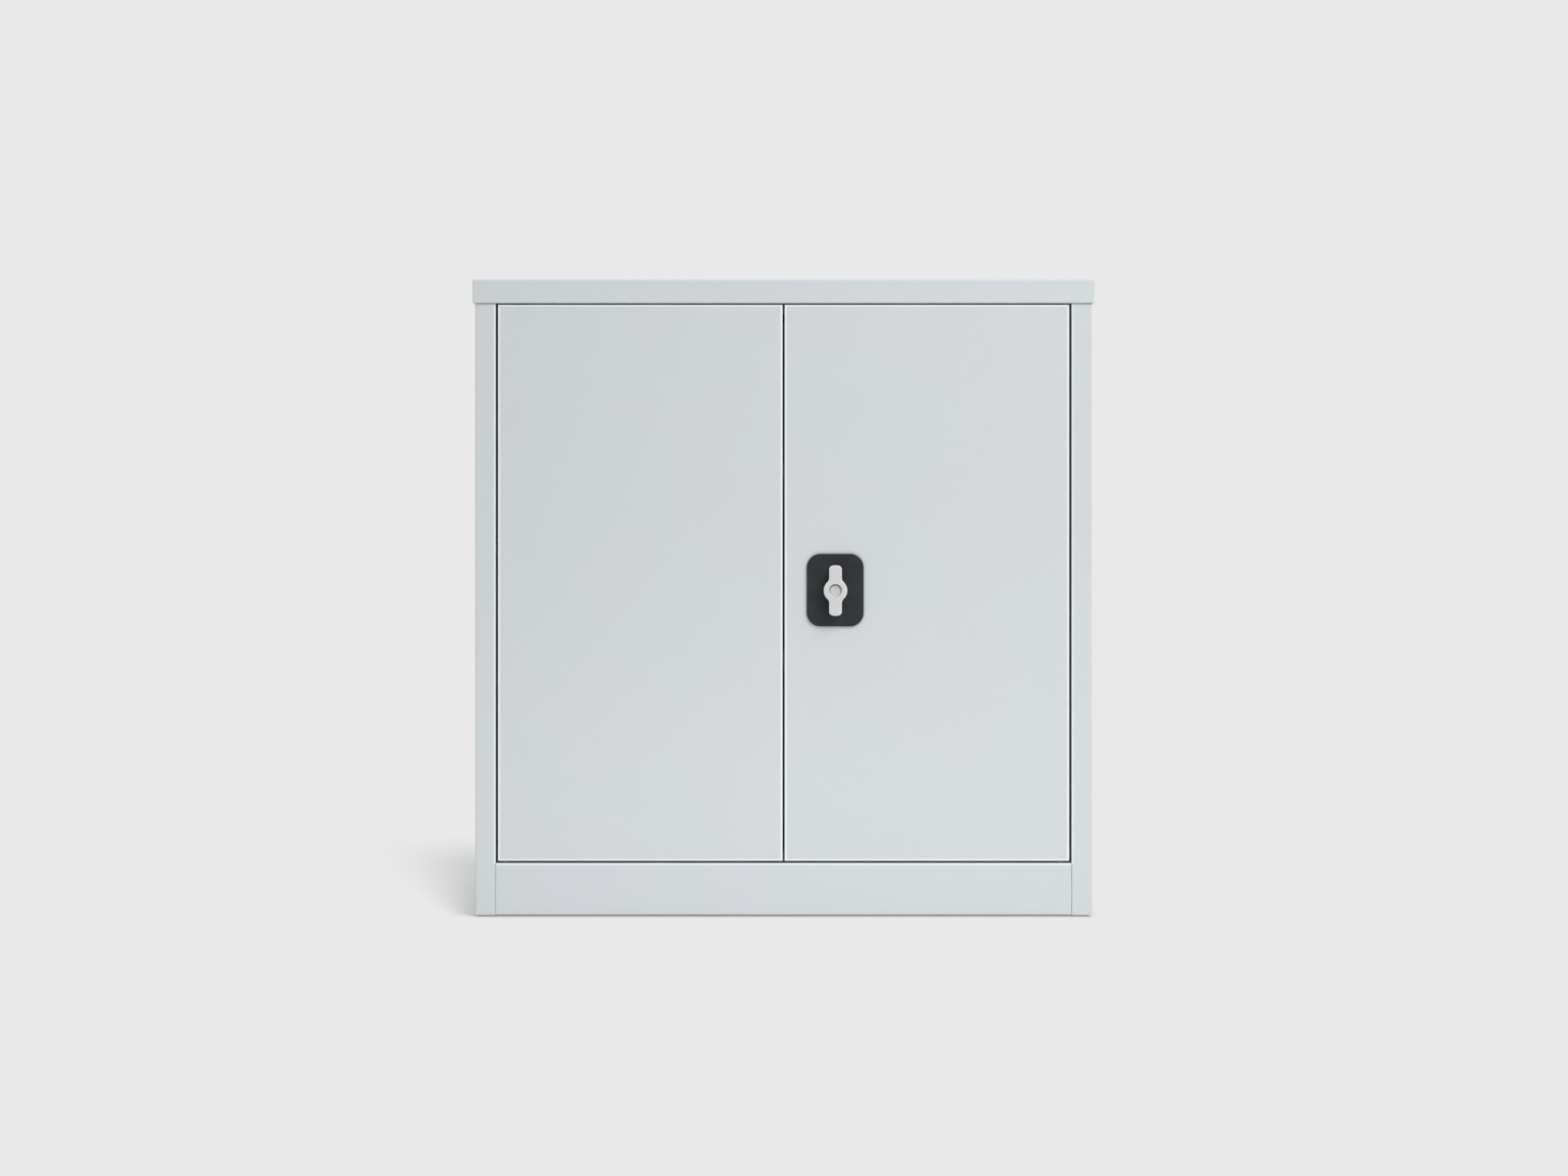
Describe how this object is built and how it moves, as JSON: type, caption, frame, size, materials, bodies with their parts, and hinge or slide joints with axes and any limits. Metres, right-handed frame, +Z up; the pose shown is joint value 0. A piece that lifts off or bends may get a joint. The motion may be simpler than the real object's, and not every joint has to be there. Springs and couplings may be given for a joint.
{
  "type": "metal storage cabinet",
  "caption": "Low steel storage cabinet with a pair of hinged doors, an overhanging cap, shelves on clips and a wing-handled lock that drives bolts up and down.",
  "frame": {"origin": "on the floor, at the middle of the cabinet's bounding box seen from above, with the handle's reach counted in", "axes": "+X to the right seen from the front, +Y from the doors to the back panel, +Z up"},
  "size_m": [0.907, 0.4296, 0.93],
  "materials": {
    "body_paint": "fine-textured powder coat",
    "door_paint": "fine-textured powder coat",
    "shelf_paint": "fine-textured powder coat",
    "zinc_steel": "bright zinc plate",
    "black_nylon": "moulded",
    "bumper_rubber": "matt",
    "plate_black": "satin, slightly pebbled",
    "handle_grey": "smooth satin lacquer",
    "plug_grey": "satin"
  },
  "bodies": {
    "cabinet": {"left_side_panel": "body_paint", "right_side_panel": "body_paint", "back_panel": "body_paint", "back_screws": "zinc_steel", "top_panel": "body_paint", "top_rail": "body_paint", "kick_plate": "body_paint", "bottom_panel": "body_paint", "front_left_upright": "body_paint", "rear_left_upright": "body_paint", "front_right_upright": "body_paint", "rear_right_upright": "body_paint", "lower_shelf": "shelf_paint", "lower_shelf_clips": "zinc_steel", "upper_shelf": "shelf_paint", "upper_shelf_clips": "zinc_steel", "glides": "black_nylon", "pivot_bushes": "black_nylon", "door_bumpers": "bumper_rubber", "magnetic_catches": "black_nylon"},
    "left_door": {"left_door": "door_paint", "left_door_stiffener": "door_paint", "left_hinge_brackets": "zinc_steel", "left_hinge_pins": "zinc_steel"},
    "right_door": {"right_door": "door_paint", "right_door_stiffener": "door_paint", "right_hinge_brackets": "zinc_steel", "right_hinge_pins": "zinc_steel", "lock_plate": "plate_black", "lock_case": "zinc_steel", "lock_screws": "zinc_steel", "rod_guides": "black_nylon"},
    "handle": {"lock_handle": "handle_grey", "lock_barrel": "zinc_steel", "lock_spindle": "zinc_steel", "crank_plate": "zinc_steel", "crank_pins": "zinc_steel", "spindle_spacer": "zinc_steel", "lock_tongue": "zinc_steel", "spindle_nut": "zinc_steel"},
    "lock_plug": {"lock_plug": "plug_grey"},
    "upper_rod": {"upper_rod": "zinc_steel"},
    "lower_rod": {"lower_rod": "zinc_steel"}
  },
  "joints": [
    {"name": "left_door_hinge", "type": "hinge", "parent": "cabinet", "child": "left_door", "pos_m": [-0.4051, -0.18275, 0.4876], "axis": [0, 0, -1], "range_deg": [0, 120]},
    {"name": "right_door_hinge", "type": "hinge", "parent": "cabinet", "child": "right_door", "pos_m": [0.4051, -0.18275, 0.4876], "axis": [0, 0, 1], "range_deg": [0, 120]},
    {"name": "handle_turn", "type": "hinge", "parent": "right_door", "child": "handle", "pos_m": [0.0753, -0.17875, 0.4769], "axis": [0, -1, 0], "range_deg": [0, 90]},
    {"name": "lock_plug_turn", "type": "hinge", "parent": "handle", "child": "lock_plug", "pos_m": [0.0753, -0.21005, 0.4769], "axis": [0, -1, 0], "range_deg": [0, 90]},
    {"name": "upper_rod_slide", "type": "slide", "parent": "right_door", "child": "upper_rod", "axis": [0, 0, 1], "range_m": [0, 0.02556]},
    {"name": "lower_rod_slide", "type": "slide", "parent": "right_door", "child": "lower_rod", "axis": [0, 0, -1], "range_m": [0, 0.02556]}
  ],
  "couplings": [
    {"joint": "upper_rod_slide", "follows": "handle_turn", "m_per_rad": 0.016206},
    {"joint": "lower_rod_slide", "follows": "handle_turn", "m_per_rad": 0.016206}
  ]
}
